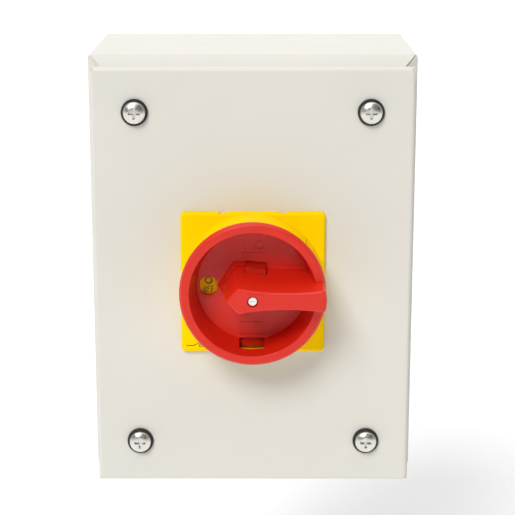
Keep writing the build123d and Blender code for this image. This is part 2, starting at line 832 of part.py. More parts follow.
def drive_sleeve():
    """Drive sleeve: neck up into the grip, stem through the bezel and square socket behind."""
    face = LID_FACE
    stem = bar(STEM_R, SLEEVE_BACK, face + PLATE_T)
    neck = bar(NECK_R, face + PLATE_T, face + NECK_TOP)
    neck -= bar(1.5, face + NECK_TOP - 9.0, face + NECK_TOP)
    sleeve = stem + neck
    socket = SHAFT + 0.3
    sleeve -= slab(socket, socket, SLEEVE_BACK, SHAFT_FRONT + 0.5)
    sleeve -= tube(STEM_R + 1.0, CIRCLIP_GROOVE_R, CIRCLIP_FRONT - CIRCLIP_T, CIRCLIP_FRONT)
    sleeve -= tube(STEM_R + 1.0, CIRCLIP_GROOVE_R, O_RING_DEPTH - O_RING_T / 2, O_RING_DEPTH + O_RING_T / 2)
    return sleeve


def handle_seal():
    """O-ring of square section in the groove of the drive sleeve."""
    half = O_RING_T / 2 - FIT
    return tube(STEM_R, CIRCLIP_GROOVE_R + FIT, O_RING_DEPTH - half, O_RING_DEPTH + half)


def retaining_ring():
    """External circlip behind the spigot of the bezel."""
    front = CIRCLIP_FRONT - FIT
    back = CIRCLIP_FRONT - CIRCLIP_T + FIT
    outer = 9.6
    ring = tube(outer, CIRCLIP_GROOVE_R + FIT, back, front)
    ring -= slab(3.0, 6.0, back, front, 0, -outer + 1.0)
    return ring


# ---------------------------------------------------------------- lock slide
def thumb_block():
    """Thumb block that stands a little proud of the grip's upper flank, with a sloped front end."""
    half = THUMB_W / 2
    back = LID_FACE + SLIDE_BACK
    front = LID_FACE + THUMB_TOP
    side_view = [
        (back, THUMB_LOWER),
        (front, THUMB_LOWER),
        (front, THUMB_LOWER + 1.3),
        (front - 6.4, THUMB_LOWER + 6.1),
        (back, THUMB_LOWER + 6.1),
    ]
    limits = side_prism(side_view, (THUMB_X - half, THUMB_X + half))
    foot = Plane.XZ.offset(back) * foot_outline()
    neck = Plane.XZ.offset(LID_FACE + DISH_FLOOR - GRIP_EMBED) * foot_outline()
    proud = Pos(0, 0, THUMB_LIFT) * (grip() + loft([foot, neck], ruled=True))
    return proud & limits


def lock_slide():
    """Padlock slide: a flat tongue under the floor and a thumb block above the grip."""
    half = SLIDE_W / 2
    depths = (LID_FACE + SLIDE_BACK, LID_FACE + SLIDE_FRONT)
    tongue = block((GATE_X - half, GATE_X + half), depths, (-SLIDE_REACH, THUMB_LOWER + 1.0))
    lip_depths = (LID_FACE + SLIDE_BACK, LID_FACE + SLIDE_LIP_FRONT)
    tongue += block((GATE_X - half, GATE_X + half), lip_depths, (-SLIDE_REACH, -SLIDE_LIP_START))
    tongue &= bar(SLIDE_REACH, *lip_depths)
    hole_half = NECK_R + SLIDE_SLACK
    neck_room = block((-hole_half, hole_half), depths, (-hole_half, hole_half + SLIDE_TRAVEL))
    spring_room = upright(SPRING_R + 0.5, THUMB_LOWER, SPRING_TOP, THUMB_X, LID_FACE + SPRING_HEIGHT)
    return tongue + thumb_block() - neck_room - spring_room


def lock_slide_spring():
    """Small coil spring between the floor of the thumb block's room and the block."""
    clear = 2 * FIT + SPRING_WIRE / 2
    start = THUMB_LOWER - SLIDE_TRAVEL - SLIDE_SLACK + clear
    length = SPRING_TOP - clear - start
    return Pos(THUMB_X, -(LID_FACE + SPRING_HEIGHT), start) * coil(SPRING_R, SPRING_WIRE, length, 4)


# ---------------------------------------------------------------- rotor
def rotor_spindle():
    """Square spindle with a round journal that turns in the base."""
    journal_end = 14.5
    return bar(JOURNAL_R, journal_end, BASE_FRONT) + slab(SPINDLE, SPINDLE, BASE_FRONT, SPINDLE_FRONT)


def cam_outline():
    """Two-lobed cam: falls by the lift over 90 degrees, overruns, then climbs back."""
    fall_end = 105.0
    step = 5
    points = []
    for angle in range(0, 360, step):
        phase = angle % 180
        if phase <= fall_end:
            drop = CAM_LIFT * phase / 90
        else:
            drop = CAM_LIFT * fall_end / 90 * (180 - phase) / (180 - fall_end)
        radius = CAM_R - drop
        points.append((radius * math.cos(math.radians(angle)), radius * math.sin(math.radians(angle))))
    return make_face(Polyline(*points, close=True))


def cam(chamber_back):
    """One cam disc, threaded on the square spindle."""
    start = chamber_back + (CHAMBER_T - CAM_T) / 2
    disc = forward(cam_outline(), start, start + CAM_T)
    return disc - slab(SPINDLE + 2 * FIT, SPINDLE + 2 * FIT, start, start + CAM_T)


def detent_star():
    """Shallow four-lobed star with a hub that turns in the cover."""
    lobes = 4
    step = 3
    front = LATCH_FRONT - 0.5
    points = []
    for angle in range(0, 360, step):
        radius = STAR_R - STAR_RIPPLE * math.cos(math.radians(lobes * angle))
        points.append((radius * math.cos(math.radians(angle)), radius * math.sin(math.radians(angle))))
    outline = make_face(Polyline(*points, close=True))
    star = forward(outline, LATCH_BACK + 1.5, front)
    star += bar(HUB_R, front, COVER_FRONT)
    return star - slab(SPINDLE + 2 * FIT, SPINDLE + 2 * FIT, LATCH_BACK, COVER_FRONT)


def shaft_coupling():
    """Turned coupling that joins the spindle to the extension shaft."""
    spindle_socket = SPINDLE + 2 * FIT
    shaft_socket = SHAFT + 2 * FIT
    step = SPINDLE_FRONT + 0.2
    sleeve = bar(COUPLING_R, COUPLING_BACK, COUPLING_FRONT)
    sleeve -= slab(spindle_socket, spindle_socket, COUPLING_BACK, step)
    sleeve -= slab(shaft_socket, shaft_socket, step, COUPLING_FRONT)
    return sleeve - cross_bar(GRUB_R + FIT, 0, COUPLING_R + 1.0, GRUB_DEPTH, 0)


def coupling_grub_screw():
    """Grub screw that clamps the extension shaft."""
    inner = SHAFT / 2 + FIT
    outer = COUPLING_R - 0.3
    slot_depth = 1.5
    slot_half = 0.4
    grub = cross_bar(GRUB_R, inner, outer, GRUB_DEPTH, 0)
    slot_depths = (GRUB_DEPTH - slot_half, GRUB_DEPTH + slot_half)
    return grub - block((outer - slot_depth, outer), slot_depths, (-GRUB_R, GRUB_R))


def extension_shaft():
    """Square steel shaft from the coupling to the handle's socket, with a chamfered end."""
    shaft = slab(SHAFT, SHAFT, SHAFT_BACK, SHAFT_FRONT)
    end_edges = shaft.faces().sort_by(Axis.Y)[0].edges()
    return chamfer(end_edges, 0.8)


# ---------------------------------------------------------------- switch housing
def through_holes(start, end):
    """Clearance holes of the four through bolts."""
    hole_r = THROUGH_BOLT_R + 2 * FIT
    return [bar(hole_r, start, end, x, z) for x, z in corners(THROUGH_BOLT_X, THROUGH_BOLT_Z)]


def switch_base():
    """Moulded base with two ears and the spindle's rear bearing."""
    ear_w = 18.0
    ears_h = 86.0
    bearing_back = 13.5
    base = slab(SWITCH_W, SWITCH_H, PANEL_FRONT, BASE_FRONT, corner=SWITCH_CORNER)
    base += slab(ear_w, ears_h, PANEL_FRONT, EAR_FRONT, corner=2 * SWITCH_CORNER)
    base -= bar(JOURNAL_R + FIT, bearing_back, BASE_FRONT)
    for end in SIDES:
        base -= bar(SWITCH_SCREW_R + FIT, PANEL_FRONT, EAR_FRONT, 0, end * SWITCH_SCREW_Z)
    return drill(base, through_holes(PANEL_FRONT + 2.0, BASE_FRONT))


def contact_chamber(back):
    """Moulded chamber: contact cavity, four terminal pockets and a floor with a spindle hole."""
    front = back + CHAMBER_T
    middle = middle_depth(back)
    pocket_half = 5.5
    pocket = (middle - pocket_half, middle + pocket_half)
    strip = (middle - STRIP_HALF - FIT, middle + STRIP_HALF + FIT)
    chamber = slab(SWITCH_W, SWITCH_H, back, front, corner=SWITCH_CORNER)
    chamber -= slab(2 * CAVITY_HALF_W, 2 * CAVITY_HALF_H, back + CHAMBER_FLOOR_T, front)
    chamber -= bar(SPINDLE_WAY_R, back, back + CHAMBER_FLOOR_T)
    for x, z in corners(1, 1):
        chamber -= block(between(x * POCKET_INNER, x * SWITCH_W), pocket, between(z * POCKET_Z, z * SWITCH_H))
        slot_x = between(x * (STRIP_X - FIT), x * (STRIP_X + STRIP_T + FIT))
        chamber -= block(slot_x, strip, between(z * CAVITY_HALF_H, z * POCKET_Z))
    return drill(chamber, through_holes(back, front))


def latching_housing():
    """Housing of the detent star, with a channel on each side for roller and spring."""
    floor_t = 1.0
    star_room_r = 12.5
    channel_w = 54.0
    channel_h = 2 * ROLLER_R + 8 * FIT
    floor = LATCH_BACK + floor_t
    housing = slab(SWITCH_W, SWITCH_H, LATCH_BACK, LATCH_FRONT, corner=SWITCH_CORNER)
    housing -= bar(star_room_r, floor, LATCH_FRONT)
    housing -= bar(SPINDLE_WAY_R, LATCH_BACK, floor)
    housing -= slab(channel_w, channel_h, floor, LATCH_FRONT)
    return drill(housing, through_holes(LATCH_BACK, LATCH_FRONT))


def latching_cover():
    """Front cover of the switch, with the bearing for the hub of the star."""
    cover = slab(SWITCH_W, SWITCH_H, LATCH_FRONT, COVER_FRONT, corner=SWITCH_CORNER)
    cover -= bar(HUB_R + FIT, LATCH_FRONT, COVER_FRONT)
    return drill(cover, through_holes(LATCH_FRONT, COVER_FRONT))


def through_bolts():
    """Four long screws that hold the stack together."""
    return [
        pan_screw(2.8, 1.9, THROUGH_BOLT_R, COVER_FRONT, PANEL_FRONT + 2.5, x, z)
        for x, z in corners(THROUGH_BOLT_X, THROUGH_BOLT_Z)
    ]


def switch_mounting_screws():
    """Two screws through the ears into the mounting plate."""
    return [
        pan_screw(3.8, 2.6, SWITCH_SCREW_R, EAR_FRONT, PANEL_BACK, 0, end * SWITCH_SCREW_Z)
        for end in SIDES
    ]


def detent_rollers():
    """Two steel rollers that ride on the star."""
    back = LATCH_BACK + 1.5
    front = LATCH_FRONT - 0.5
    return [bar(ROLLER_R, back, front, side * ROLLER_X, 0) for side in SIDES]


def detent_springs():
    """Coil springs behind the rollers."""
    radius = 1.9
    wire = 0.6
    channel_end = 27.0
    start = ROLLER_X + ROLLER_R + wire
    length = channel_end - wire - start
    depth = (LATCH_BACK + LATCH_FRONT + 1.0) / 2
    springs = []
    for side in SIDES:
        spring = coil(radius, wire, length, 7)
        springs.append(Pos(side * start, -depth, 0) * Rot(0, side * 90, 0) * spring)
    return springs


# ---------------------------------------------------------------- contacts
def middle_depth(back):
    """Depth of the middle of a chamber."""
    return back + CHAMBER_T / 2


def fixed_contacts():
    """Eight fixed contact strips with pads, from the cavity out to the terminals."""
    inner_z = 9.5
    outer_z = 30.5
    pad_face = BRIDGE_X - TIP_T - CAM_LIFT - 2 * FIT
    strips = []
    for back in CHAMBER_STARTS:
        depth = middle_depth(back)
        depths = (depth - STRIP_HALF, depth + STRIP_HALF)
        for x, z in corners(1, 1):
            x_range = between(x * STRIP_X, x * (STRIP_X + STRIP_T))
            strip = block(x_range, depths, between(z * inner_z, z * outer_z))
            strip += cross_bar(TIP_R, x * (STRIP_X + STRIP_T), x * pad_face, depth, z * TIP_Z)
            strips.append(strip)
    return strips


def terminal_clamps():
    """Eight steel cage clamps around the outer ends of the strips."""
    half_depth = 4.4
    half_height = 4.0
    room_half = STRIP_HALF + 0.3
    screw_wall = CAGE_WALL + 0.6
    screw_hole_r = 1.65
    cages = []
    for back in CHAMBER_STARTS:
        depth = middle_depth(back)
        outer_depths = (depth - half_depth, depth + half_depth)
        room_depths = (depth - room_half, depth + room_half)
        for x, z in corners(1, TERMINAL_Z):
            z_range = (z - half_height, z + half_height)
            cage = block(between(x * CAGE_IN, x * CAGE_OUT), outer_depths, z_range)
            room_x = between(x * (CAGE_IN + CAGE_WALL), x * (CAGE_OUT - screw_wall))
            cage -= block(room_x, room_depths, z_range)
            cage -= cross_bar(screw_hole_r, x * (CAGE_OUT - 2 * screw_wall), x * CAGE_OUT, depth, z)
            cages.append(cage)
    return cages


def terminal_screws():
    """Eight slotted screws that enter the cages from the sides of the switch."""
    shank_r = 1.6
    head_r = 3.0
    tip_x = 17.0
    head_x = 25.0
    end_x = 27.4
    slot_x = 26.4
    slot_half = 0.45
    screws = []
    for back in CHAMBER_STARTS:
        depth = middle_depth(back)
        depths = (depth - head_r, depth + head_r)
        for x, z in corners(1, TERMINAL_Z):
            screw = cross_bar(shank_r, x * tip_x, x * head_x, depth, z)
            screw += cross_bar(head_r, x * head_x, x * end_x, depth, z)
            slot = block(between(x * slot_x, x * (end_x + 1.0)), depths, (z - slot_half, z + slot_half))
            screws.append(screw - slot)
    return screws


def plungers(side):
    """Two moulded plungers of one side: round nose, guide body and a window for the bridge."""
    nose_half = 4.0
    body_half = 5.0
    room_half = STRIP_HALF + 2 * FIT
    guide_half = 4.0
    nose_x = CAM_R + CAM_GAP + PLUNGER_NOSE_R
    body_in = 16.4
    nose_z = (-PLUNGER_NOSE_R, PLUNGER_NOSE_R)
    guide_z = (-guide_half, guide_half)
    solids = []
    for back in CHAMBER_STARTS:
        depth = middle_depth(back)
        nose_depths = (depth - nose_half, depth + nose_half)
        body_depths = (depth - body_half, depth + body_half)
        room_depths = (depth - room_half, depth + room_half)
        plunger = bar(PLUNGER_NOSE_R, *nose_depths, side * nose_x, 0)
        plunger += block(between(side * nose_x, side * body_in), nose_depths, nose_z)
        plunger += block(between(side * body_in, side * PLUNGER_OUT), body_depths, guide_z)
        plunger -= block(between(side * WINDOW_IN, side * WINDOW_OUT), room_depths, guide_z)
        solids.append(plunger)
    return solids


def bridges(side):
    """Two copper contact bridges of one side, each with a contact tip at both ends."""
    solids = []
    for back in CHAMBER_STARTS:
        depth = middle_depth(back)
        x_range = between(side * BRIDGE_X, side * (BRIDGE_X + BRIDGE_T))
        bridge = block(x_range, (depth - STRIP_HALF, depth + STRIP_HALF), (-BRIDGE_Z, BRIDGE_Z))
        for end in SIDES:
            bridge += cross_bar(TIP_R, side * (BRIDGE_X - TIP_T), side * BRIDGE_X, depth, end * TIP_Z)
        solids.append(bridge)
    return solids


def contact_springs(side):
    """Contact-pressure springs between each bridge and its plunger."""
    radius = 1.9
    wire = 0.5
    start = BRIDGE_X + BRIDGE_T + wire / 2 + FIT
    length = WINDOW_OUT - wire / 2 - FIT - start
    solids = []
    for back in CHAMBER_STARTS:
        spring = coil(radius, wire, length, 4)
        solids.append(Pos(side * start, -middle_depth(back), 0) * Rot(0, side * 90, 0) * spring)
    return solids


# ---------------------------------------------------------------- build
def build():
    """Write every node of the assembly."""
    os.makedirs("parts", exist_ok=True)
    earth_seat = PANEL_FRONT
    neutral_seat = PANEL_FRONT + INSULATOR_T

    write("enclosure_body", enclosure_body())
    write("lid_screw_tabs", *lid_screw_tabs())
    write("lid_weld_nuts", *lid_weld_nuts())
    write("mounting_studs", *mounting_studs())
    write("mounting_plate", mounting_plate())
    write("mounting_plate_nuts", *mounting_plate_nuts())
    write("earth_stud", earth_stud())
    write("earth_stud_nuts", *earth_stud_nuts())
    write("entry_plug_left", entry_plug(-1))
    write("entry_plug_right", entry_plug(1))
    write("entry_seals", *entry_seals())
    write("entry_locknuts", *entry_locknuts())
    write("earth_bar", terminal_bar(EARTH_BAR_X, earth_seat))
    write("earth_bar_screws", *terminal_bar_screws(EARTH_BAR_X, earth_seat))
    write("neutral_insulator", neutral_insulator())
    write("neutral_bar", terminal_bar(NEUTRAL_BAR_X, neutral_seat))
    write("neutral_bar_screws", *terminal_bar_screws(NEUTRAL_BAR_X, neutral_seat))

    write("lid", lid())
    write("lid_gasket", lid_gasket())
    write("lid_screws", *lid_screws())
    write("lid_screw_seals", *lid_screw_seals())
    write("lid_screw_retainers", *lid_screw_retainers())
    write_on_axis("handle_bezel", handle_bezel())
    write_on_axis("bezel_gasket", bezel_gasket())
    write_on_axis("bezel_nut", bezel_nut())

    write_on_axis("handle", handle())
    write_on_axis("handle_screw", handle_screw())
    write_on_axis("drive_sleeve", drive_sleeve())
    write_on_axis("handle_seal", handle_seal())
    write_on_axis("retaining_ring", retaining_ring())
    write_on_axis("lock_slide", lock_slide())
    write_on_axis("lock_slide_spring", lock_slide_spring())

    write_on_axis("rotor_spindle", rotor_spindle())
    for number, back in enumerate(CHAMBER_STARTS, start=1):
        write_on_axis(f"cam_{number}", cam(back))
        write_on_axis(f"contact_chamber_{number}", contact_chamber(back))
    write_on_axis("detent_star", detent_star())
    write_on_axis("shaft_coupling", shaft_coupling())
    write_on_axis("coupling_grub_screw", coupling_grub_screw())
    write_on_axis("extension_shaft", extension_shaft())

    write_on_axis("switch_base", switch_base())
    write_on_axis("latching_housing", latching_housing())
    write_on_axis("latching_cover", latching_cover())
    write_on_axis("through_bolts", *through_bolts())
    write_on_axis("switch_mounting_screws", *switch_mounting_screws())
    write_on_axis("detent_rollers", *detent_rollers())
    write_on_axis("detent_springs", *detent_springs())
    write_on_axis("fixed_contacts", *fixed_contacts())
    write_on_axis("terminal_clamps", *terminal_clamps())
    write_on_axis("terminal_screws", *terminal_screws())
    for name, side in (("left", -1), ("right", 1)):
        write_on_axis(f"plungers_{name}", *plungers(side))
        write_on_axis(f"contact_bridges_{name}", *bridges(side))
        write_on_axis(f"contact_springs_{name}", *contact_springs(side))


build()
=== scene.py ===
import math

import bmesh
import bpy
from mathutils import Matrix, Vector


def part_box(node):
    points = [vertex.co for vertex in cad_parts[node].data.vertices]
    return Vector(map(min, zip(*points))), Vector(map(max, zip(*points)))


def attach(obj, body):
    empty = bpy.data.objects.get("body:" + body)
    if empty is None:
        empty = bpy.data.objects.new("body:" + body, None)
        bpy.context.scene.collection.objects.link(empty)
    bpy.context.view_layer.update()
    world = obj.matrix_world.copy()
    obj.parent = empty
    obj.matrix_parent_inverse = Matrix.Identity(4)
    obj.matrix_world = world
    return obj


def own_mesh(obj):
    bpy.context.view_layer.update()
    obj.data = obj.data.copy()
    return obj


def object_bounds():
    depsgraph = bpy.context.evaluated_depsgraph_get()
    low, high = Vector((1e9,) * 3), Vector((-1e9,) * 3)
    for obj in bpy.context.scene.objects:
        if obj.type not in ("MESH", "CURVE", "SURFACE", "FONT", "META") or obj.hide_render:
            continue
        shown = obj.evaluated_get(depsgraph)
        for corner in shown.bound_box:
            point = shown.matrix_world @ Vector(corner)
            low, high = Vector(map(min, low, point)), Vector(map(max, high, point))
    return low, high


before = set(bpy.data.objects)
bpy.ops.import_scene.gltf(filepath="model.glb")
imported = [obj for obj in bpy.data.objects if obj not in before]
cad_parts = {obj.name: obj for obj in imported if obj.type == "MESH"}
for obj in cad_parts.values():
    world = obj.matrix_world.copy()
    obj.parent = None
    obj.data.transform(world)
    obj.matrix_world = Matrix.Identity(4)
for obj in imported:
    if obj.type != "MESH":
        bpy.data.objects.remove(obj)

# Looks of the rotary isolator switch.  All lengths are in metres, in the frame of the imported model:
# X to the right, Z up, Y into the wall, origin at the centre of the back face.

for leftover in ("Cube", "Light", "Camera"):
    if leftover in bpy.data.objects:
        bpy.data.objects.remove(bpy.data.objects[leftover])

CAD_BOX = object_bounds()
MM = 0.001


# ---------------------------------------------------------------- material kit
class Recipe:
    """A Principled material with helpers that add procedural colour, roughness and bump."""

    def __init__(self, name, roughness, metallic=0.0):
        self.material = bpy.data.materials.new(name)
        self.material.use_nodes = True
        self.tree = self.material.node_tree
        self.shader = self.tree.nodes["Principled BSDF"]
        self.shader.inputs["Roughness"].default_value = roughness
        self.shader.inputs["Metallic"].default_value = metallic
        self.place = self.tree.nodes.new("ShaderNodeTexCoord").outputs["Object"]
        self.normal = None

    def link(self, source, target):
        """Connect an output socket to an input socket."""
        self.tree.links.new(source, target)

    def stretched(self, scale):
        """Object coordinates scaled by a different factor on each axis."""
        mapping = self.tree.nodes.new("ShaderNodeMapping")
        mapping.inputs["Scale"].default_value = scale
        self.link(self.place, mapping.inputs["Vector"])
        return mapping.outputs["Vector"]

    def noise(self, size, detail=2.0, roughness=0.5, place=None):
        """Noise whose blobs are about one size across, in metres."""
        node = self.tree.nodes.new("ShaderNodeTexNoise")
        node.inputs["Scale"].default_value = 1.0 / size
        node.inputs["Detail"].default_value = detail
        node.inputs["Roughness"].default_value = roughness
        self.link(place or self.place, node.inputs["Vector"])
        return node.outputs["Fac"]

    def cells(self, size, output="Distance"):
        """Voronoi cells of about one size across, in metres."""
        node = self.tree.nodes.new("ShaderNodeTexVoronoi")
        node.inputs["Scale"].default_value = 1.0 / size
        self.link(self.place, node.inputs["Vector"])
        return node.outputs[output]

    def spread(self, value, low, high, start=0.3, end=0.7):
        """Map a value that runs from start to end onto low to high, clamped."""
        node = self.tree.nodes.new("ShaderNodeMapRange")
        node.inputs["From Min"].default_value = start
        node.inputs["From Max"].default_value = end
        node.inputs["To Min"].default_value = low
        node.inputs["To Max"].default_value = high
        self.link(value, node.inputs["Value"])
        return node.outputs["Result"]

    def mask(self, value, start=0.3, end=0.7):
        """Map a value that runs from start to end onto 0 to 1, clamped."""
        return self.spread(value, 0.0, 1.0, start, end)

    def sum(self, first, second):
        """Add two values."""
        node = self.tree.nodes.new("ShaderNodeMath")
        node.operation = "ADD"
        self.link(first, node.inputs[0])
        self.link(second, node.inputs[1])
        return node.outputs[0]

    def colours(self, factor, first, second):
        """Mix two colours by a factor."""
        node = self.tree.nodes.new("ShaderNodeMix")
        node.data_type = "RGBA"
        self.link(factor, node.inputs["Factor"])
        for socket, colour in (("A", first), ("B", second)):
            target = [s for s in node.inputs if s.name == socket and s.type == "RGBA"][0]
            if isinstance(colour, tuple):
                target.default_value = (*colour, 1.0)
            else:
                self.link(colour, target)
        return [s for s in node.outputs if s.type == "RGBA"][0]

    def paint(self, colour):
        """Set the base colour from a colour socket."""
        self.link(colour, self.shader.inputs["Base Color"])

    def polish(self, roughness):
        """Set the roughness from a value socket."""
        self.link(roughness, self.shader.inputs["Roughness"])

    def relief(self, height, depth, strength=0.5):
        """Add a layer of bump whose full height is a depth in metres."""
        node = self.tree.nodes.new("ShaderNodeBump")
        node.inputs["Distance"].default_value = depth
        node.inputs["Strength"].default_value = strength
        self.link(height, node.inputs["Height"])
        if self.normal is not None:
            self.link(self.normal, node.inputs["Normal"])
        self.normal = node.outputs["Normal"]
        self.link(self.normal, self.shader.inputs["Normal"])


def shade(colour, factor):
    """A darker or lighter version of a colour."""
    return tuple(min(1.0, channel * factor) for channel in colour)


def srgb(red, green, blue):
    """A colour given as display values from 0 to 255."""
    def linear(value):
        value /= 255.0
        return value / 12.92 if value <= 0.04045 else ((value + 0.055) / 1.055) ** 2.4
    return (linear(red), linear(green), linear(blue))


# ---------------------------------------------------------------- materials
OFF_WHITE = srgb(218, 215, 206)
RED = srgb(215, 36, 16)
YELLOW = srgb(255, 210, 0)
GREY = srgb(150, 152, 152)
BLACK = srgb(34, 34, 35)
PALE_GREY = srgb(196, 196, 192)
CREAM = srgb(226, 218, 196)
WHITE = srgb(246, 244, 240)
SOOT = (0.012, 0.012, 0.012)
# Darker pore colour: painted shade in the foam's open cells.
PORE_SHADE_BLACK = (0.012, 0.012, 0.013)
PORE_GREY = (0.06, 0.06, 0.062)
INK_BLACK = (0.008, 0.007, 0.006)
INK_THIN = (0.03, 0.026, 0.018)
NICKEL = (0.74, 0.72, 0.68)
ZINC = (0.66, 0.68, 0.70)
DARK_SPANGLE = (0.58, 0.60, 0.62)
LIGHT_SPANGLE = (0.78, 0.79, 0.80)
STEEL = (0.56, 0.56, 0.57)
SPRING_STEEL = (0.50, 0.50, 0.52)
BRASS = (0.78, 0.58, 0.27)
COPPER = (0.80, 0.42, 0.28)


def powder_coat():
    """Baked powder coat on sheet steel: orange-peel skin, slight tone drift."""
    recipe = Recipe("powder_coat", roughness=0.42)
    drift = recipe.mask(recipe.noise(60 * MM, detail=3))
    recipe.paint(recipe.colours(drift, shade(OFF_WHITE, 0.985), shade(OFF_WHITE, 1.012)))
    recipe.polish(recipe.spread(recipe.noise(9 * MM, detail=4), low=0.36, high=0.48))
    recipe.relief(recipe.noise(1.3 * MM, detail=2), depth=0.02 * MM)
    recipe.relief(recipe.noise(0.28 * MM, detail=1), depth=0.005 * MM)
    return recipe.material


def moulded_plastic(name, colour, roughness, tone=0.03, gloss=0.5,
                    grain=0.18 * MM, grain_depth=0.006 * MM):
    """Moulded thermoplastic: fine eroded grain, soft flow marks and a few dull scuffs."""
    recipe = Recipe(name, roughness=roughness)
    recipe.shader.inputs["Specular IOR Level"].default_value = gloss
    flow = recipe.noise(14 * MM, detail=3, place=recipe.stretched((1.0, 0.6, 0.35)))
    base = recipe.colours(recipe.mask(flow), shade(colour, 1.0 - tone), shade(colour, 1.0 + tone))
    speck = recipe.mask(recipe.noise(0.9 * MM, detail=4, roughness=0.7), start=0.62, end=0.8)
    recipe.paint(recipe.colours(speck, base, shade(colour, 0.93)))
    long_way = recipe.stretched((0.25, 1.0, 1.0))
    scuff = recipe.noise(2.2 * MM, detail=5, roughness=0.65, place=long_way)
    dull = recipe.spread(scuff, low=0.0, high=0.14, start=0.52, end=0.72)
    haze = recipe.noise(6 * MM, detail=3)
    even = recipe.spread(haze, low=roughness - 0.05, high=roughness + 0.05)
    recipe.polish(recipe.sum(even, dull))
    recipe.relief(recipe.noise(5 * MM, detail=1), depth=0.02 * MM, strength=0.35)
    recipe.relief(recipe.noise(grain, detail=1), depth=grain_depth, strength=0.6)
    return recipe.material


def plated_metal(name, colour, roughness, streak=0.0, patch=0.04, size=5 * MM, bump=0.004 * MM):
    """Plated or bare metal: cloudy roughness, fine draw lines and small colour patches."""
    recipe = Recipe(name, roughness=roughness, metallic=1.0)
    cloud = recipe.mask(recipe.noise(size, detail=4, roughness=0.6))
    recipe.paint(recipe.colours(cloud, shade(colour, 1.0 - patch), shade(colour, 1.0 + patch)))
    haze = recipe.noise(0.7 * size, detail=3)
    recipe.polish(recipe.spread(haze, low=roughness - 0.06, high=roughness + 0.08))
    if streak:
        lines = recipe.noise(0.35 * MM, detail=2, place=recipe.stretched((0.08, 1.0, 1.0)))
        recipe.relief(lines, depth=streak)
    recipe.relief(recipe.noise(0.6 * MM, detail=2), depth=bump)
    return recipe.material


def galvanised():
    """Zinc-coated plate with its crystal spangle."""
    recipe = Recipe("galvanised_sheet", roughness=0.38, metallic=1.0)
    split = recipe.tree.nodes.new("ShaderNodeSeparateColor")
    recipe.link(recipe.cells(5 * MM, output="Color"), split.inputs["Color"])
    tone = split.outputs["Red"]
    recipe.paint(recipe.colours(tone, DARK_SPANGLE, LIGHT_SPANGLE))
    recipe.polish(recipe.spread(tone, low=0.30, high=0.48, start=0.0, end=1.0))
    recipe.relief(recipe.noise(1.0 * MM, detail=3), depth=0.006 * MM)
    return recipe.material


def rubber():
    """Matte sealing rubber with a dusty bloom."""
    recipe = Recipe("sealing_rubber", roughness=0.62)
    bloom = recipe.mask(recipe.noise(3 * MM, detail=4, roughness=0.65), start=0.45, end=0.75)
    recipe.paint(recipe.colours(bloom, SOOT, shade(SOOT, 2.2)))
    recipe.polish(recipe.spread(recipe.noise(1.2 * MM, detail=3), low=0.54, high=0.70))
    recipe.relief(recipe.noise(0.35 * MM, detail=2), depth=0.015 * MM, strength=0.6)
    return recipe.material


def foam():
    """Closed-cell gasket foam with open pores on its skin; the pores are painted darker than the
    skin, a painted shade in their hollows, over a real bump.
    """
    recipe = Recipe("gasket_foam", roughness=0.85)
    pores = recipe.cells(0.7 * MM)
    # Painted shade: the pores are coloured darker than the skin around them.
    recipe.paint(recipe.colours(recipe.mask(pores, start=0.1, end=0.6), PORE_SHADE_BLACK, PORE_GREY))
    recipe.polish(recipe.spread(pores, low=0.75, high=0.95, start=0.0, end=1.0))
    recipe.relief(pores, depth=0.12 * MM, strength=0.7)
    return recipe.material


def ink():
    """Pad-printed black ink with slightly uneven cover."""
    recipe = Recipe("printing_ink", roughness=0.45)
    cover = recipe.mask(recipe.noise(0.5 * MM, detail=4), start=0.4, end=0.75)
    recipe.paint(recipe.colours(cover, INK_BLACK, INK_THIN))
    recipe.polish(recipe.spread(recipe.noise(0.8 * MM), low=0.38, high=0.55))
    recipe.relief(recipe.noise(0.3 * MM), depth=0.004 * MM, strength=0.4)
    return recipe.material


def make_materials():
    """Every material of the object, by name."""
    return {
        "coat": powder_coat(),
        "red": moulded_plastic("red_moulding", RED, 0.36, gloss=0.42),
        # Lock slide: the handle's red darkened to 0.72, a painted shade for the slide that sits
        # recessed below the dish floor.
        "slide_red_painted_shade": moulded_plastic("lock_slide_painted_shade_moulding", shade(RED, 0.72), 0.40, gloss=0.35),
        "yellow": moulded_plastic("yellow_moulding", YELLOW, 0.48, tone=0.015, gloss=0.02),
        "nickel": plated_metal("nickel_plate", NICKEL, 0.30, size=2 * MM, bump=0.0012 * MM),
        "zinc": plated_metal("zinc_plate", ZINC, 0.34, streak=0.01 * MM, patch=0.06),
        "steel": plated_metal("turned_steel", STEEL, 0.30, streak=0.015 * MM),
        "spring": plated_metal("spring_wire", SPRING_STEEL, 0.26, size=1 * MM),
        "galvanised": galvanised(),
        "brass": plated_metal("brass", BRASS, 0.28, streak=0.012 * MM, patch=0.07),
        "copper": plated_metal("copper", COPPER, 0.32, streak=0.01 * MM, patch=0.10),
        "rubber": rubber(),
        "foam": foam(),
        "grey": moulded_plastic("grey_moulding", GREY, 0.48),
        "black": moulded_plastic("black_moulding", BLACK, 0.46),
        "plug": moulded_plastic(
            "plug_moulding", PALE_GREY, 0.50, grain=0.4 * MM, grain_depth=0.02 * MM),
        "cream": moulded_plastic("cream_moulding", CREAM, 0.44),
        "white": moulded_plastic("white_cap", WHITE, 0.35),
        "ink": ink(),
    }


